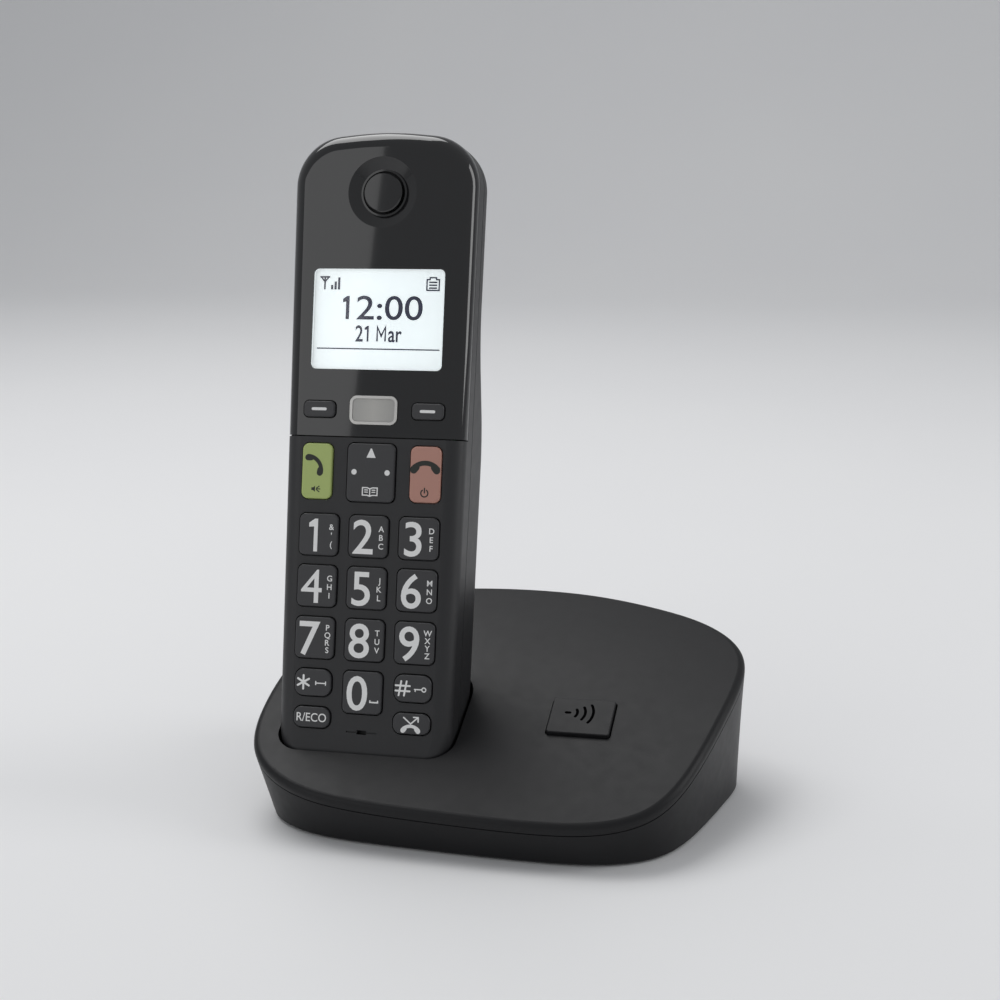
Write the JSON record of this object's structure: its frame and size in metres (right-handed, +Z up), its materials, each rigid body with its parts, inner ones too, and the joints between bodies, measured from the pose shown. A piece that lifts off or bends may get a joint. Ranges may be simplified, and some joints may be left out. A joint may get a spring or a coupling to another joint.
{
  "type": "cordless phone with base",
  "caption": "Cordless telephone handset with a large-key keypad and a lit display, standing in a leaning pocket of a crowned charging base with a handset-locator button.",
  "frame": {"origin": "on the table, under the middle of the base's outline", "axes": "+X to the right as the keypad is read, +Y from the front edge to the back, +Z up; the handset stands on the left and leans back by 14 degrees"},
  "size_m": [0.1276, 0.0921, 0.1766],
  "materials": {
    "case_grey": "fine matt moulded plastic",
    "cover_black": "high gloss black plastic",
    "key_grey": "satin moulded plastic with pale printed legends",
    "key_green": "satin pale green plastic",
    "key_red": "satin pale red plastic",
    "base_grey": "satin moulded plastic",
    "window_clear": "clear acrylic",
    "display_white": "backlit display face",
    "lamp_pale": "translucent lamp cover",
    "lamp_trim": "bright trim",
    "speaker_black": "dark satin plastic",
    "board_green": "solder-masked laminate",
    "rubber_grey": "moulded silicone",
    "spring_metal": "plated spring steel",
    "pad_metal": "plated contact",
    "cell_wrap": "shrink-wrapped metal can",
    "screw_steel": "zinc-plated steel",
    "foot_rubber": "soft dark rubber",
    "socket_black": "dark moulded plastic"
  },
  "bodies": {
    "base": {"base_top": "base_grey", "base_bottom": "base_grey", "base_board": "board_green", "page_switch": "speaker_black", "dc_inlet": "socket_black", "line_socket": "socket_black", "base_antenna": "spring_metal", "rubber_feet": "foot_rubber", "base_screws": "screw_steel"},
    "handset": {"front_case": "case_grey", "display_cover": "cover_black", "rear_case": "case_grey", "display_lens": "window_clear", "lcd_module": "display_white", "earpiece_insert": "cover_black", "receiver": "speaker_black", "ringer": "speaker_black", "microphone": "speaker_black", "lamp_frame": "lamp_trim", "lamp_lens": "lamp_pale", "handset_board": "board_green", "keypad_mat": "rubber_grey", "battery_cell_a": "cell_wrap", "battery_cell_b": "cell_wrap", "battery_contacts": "spring_metal", "charge_pads": "pad_metal", "case_screws": "screw_steel"},
    "key_1_cap": {"key_1": "key_grey"},
    "key_2_cap": {"key_2": "key_grey"},
    "key_3_cap": {"key_3": "key_grey"},
    "key_4_cap": {"key_4": "key_grey"},
    "key_5_cap": {"key_5": "key_grey"},
    "key_6_cap": {"key_6": "key_grey"},
    "key_7_cap": {"key_7": "key_grey"},
    "key_8_cap": {"key_8": "key_grey"},
    "key_9_cap": {"key_9": "key_grey"},
    "key_0_cap": {"key_0": "key_grey"},
    "key_star_cap": {"key_star": "key_grey"},
    "key_hash_cap": {"key_hash": "key_grey"},
    "key_recall_cap": {"key_recall": "key_grey"},
    "key_block_cap": {"key_block": "key_grey"},
    "key_talk_cap": {"key_talk": "key_green"},
    "key_off_cap": {"key_off": "key_red"},
    "soft_key_left_cap": {"soft_key_left": "key_grey"},
    "soft_key_right_cap": {"soft_key_right": "key_grey"},
    "nav_rocker": {"nav_pivot": "speaker_black"},
    "nav_cap": {"nav_key": "key_grey"},
    "locator_button": {"page_button": "base_grey"},
    "charge_pin_left": {"charge_contact_left": "pad_metal"},
    "charge_pin_right": {"charge_contact_right": "pad_metal"},
    "door": {"battery_door": "case_grey"}
  },
  "joints": [
    {"name": "handset_lift", "type": "slide", "parent": "base", "child": "handset", "axis": [0, 0.2419, 0.9703], "range_m": [0, 0.07]},
    {"name": "key_1_press", "type": "slide", "parent": "handset", "child": "key_1_cap", "axis": [0, 0.9703, -0.2419], "range_m": [0, 0.0007], "stiffness_N_per_m": 1500},
    {"name": "key_2_press", "type": "slide", "parent": "handset", "child": "key_2_cap", "axis": [0, 0.9703, -0.2419], "range_m": [0, 0.0007], "stiffness_N_per_m": 1500},
    {"name": "key_3_press", "type": "slide", "parent": "handset", "child": "key_3_cap", "axis": [0, 0.9703, -0.2419], "range_m": [0, 0.0007], "stiffness_N_per_m": 1500},
    {"name": "key_4_press", "type": "slide", "parent": "handset", "child": "key_4_cap", "axis": [0, 0.9703, -0.2419], "range_m": [0, 0.0007], "stiffness_N_per_m": 1500},
    {"name": "key_5_press", "type": "slide", "parent": "handset", "child": "key_5_cap", "axis": [0, 0.9703, -0.2419], "range_m": [0, 0.0007], "stiffness_N_per_m": 1500},
    {"name": "key_6_press", "type": "slide", "parent": "handset", "child": "key_6_cap", "axis": [0, 0.9703, -0.2419], "range_m": [0, 0.0007], "stiffness_N_per_m": 1500},
    {"name": "key_7_press", "type": "slide", "parent": "handset", "child": "key_7_cap", "axis": [0, 0.9703, -0.2419], "range_m": [0, 0.0007], "stiffness_N_per_m": 1500},
    {"name": "key_8_press", "type": "slide", "parent": "handset", "child": "key_8_cap", "axis": [0, 0.9703, -0.2419], "range_m": [0, 0.0007], "stiffness_N_per_m": 1500},
    {"name": "key_9_press", "type": "slide", "parent": "handset", "child": "key_9_cap", "axis": [0, 0.9703, -0.2419], "range_m": [0, 0.0007], "stiffness_N_per_m": 1500},
    {"name": "key_0_press", "type": "slide", "parent": "handset", "child": "key_0_cap", "axis": [0, 0.9703, -0.2419], "range_m": [0, 0.0007], "stiffness_N_per_m": 1500},
    {"name": "key_star_press", "type": "slide", "parent": "handset", "child": "key_star_cap", "axis": [0, 0.9703, -0.2419], "range_m": [0, 0.0007], "stiffness_N_per_m": 1500},
    {"name": "key_hash_press", "type": "slide", "parent": "handset", "child": "key_hash_cap", "axis": [0, 0.9703, -0.2419], "range_m": [0, 0.0007], "stiffness_N_per_m": 1500},
    {"name": "key_recall_press", "type": "slide", "parent": "handset", "child": "key_recall_cap", "axis": [0, 0.9703, -0.2419], "range_m": [0, 0.0007], "stiffness_N_per_m": 1500},
    {"name": "key_block_press", "type": "slide", "parent": "handset", "child": "key_block_cap", "axis": [0, 0.9703, -0.2419], "range_m": [0, 0.0007], "stiffness_N_per_m": 1500},
    {"name": "key_talk_press", "type": "slide", "parent": "handset", "child": "key_talk_cap", "axis": [0, 0.9703, -0.2419], "range_m": [0, 0.0007], "stiffness_N_per_m": 1500},
    {"name": "key_off_press", "type": "slide", "parent": "handset", "child": "key_off_cap", "axis": [0, 0.9703, -0.2419], "range_m": [0, 0.0007], "stiffness_N_per_m": 1500},
    {"name": "soft_key_left_press", "type": "slide", "parent": "handset", "child": "soft_key_left_cap", "axis": [0, 0.9703, -0.2419], "range_m": [0, 0.0007], "stiffness_N_per_m": 1500},
    {"name": "soft_key_right_press", "type": "slide", "parent": "handset", "child": "soft_key_right_cap", "axis": [0, 0.9703, -0.2419], "range_m": [0, 0.0007], "stiffness_N_per_m": 1500},
    {"name": "nav_tilt_up_down", "type": "hinge", "parent": "handset", "child": "nav_rocker", "pos_m": [-0.0312, -0.00614, 0.08977], "axis": [1, 0, 0], "range_deg": [-2.5, 2.5], "stiffness_Nm_per_rad": 0.2},
    {"name": "nav_tilt_sideways", "type": "hinge", "parent": "nav_rocker", "child": "nav_cap", "pos_m": [-0.0312, -0.00614, 0.08977], "axis": [0, 0.2419, 0.9703], "range_deg": [-2.5, 2.5], "stiffness_Nm_per_rad": 0.2},
    {"name": "page_press", "type": "slide", "parent": "base", "child": "locator_button", "axis": [0, 0.357, -0.9341], "range_m": [0, 0.0008], "stiffness_N_per_m": 1200},
    {"name": "charge_pin_left_travel", "type": "slide", "parent": "base", "child": "charge_pin_left", "axis": [0, 0.2419, 0.9703], "range_m": [-0.0005, 0], "stiffness_N_per_m": 800},
    {"name": "charge_pin_right_travel", "type": "slide", "parent": "base", "child": "charge_pin_right", "axis": [0, 0.2419, 0.9703], "range_m": [-0.0005, 0], "stiffness_N_per_m": 800},
    {"name": "battery_door_open", "type": "hinge", "parent": "handset", "child": "door", "pos_m": [-0.0312, 0.00237, 0.03338], "axis": [-1, 0, 0], "range_deg": [0, 45]}
  ]
}
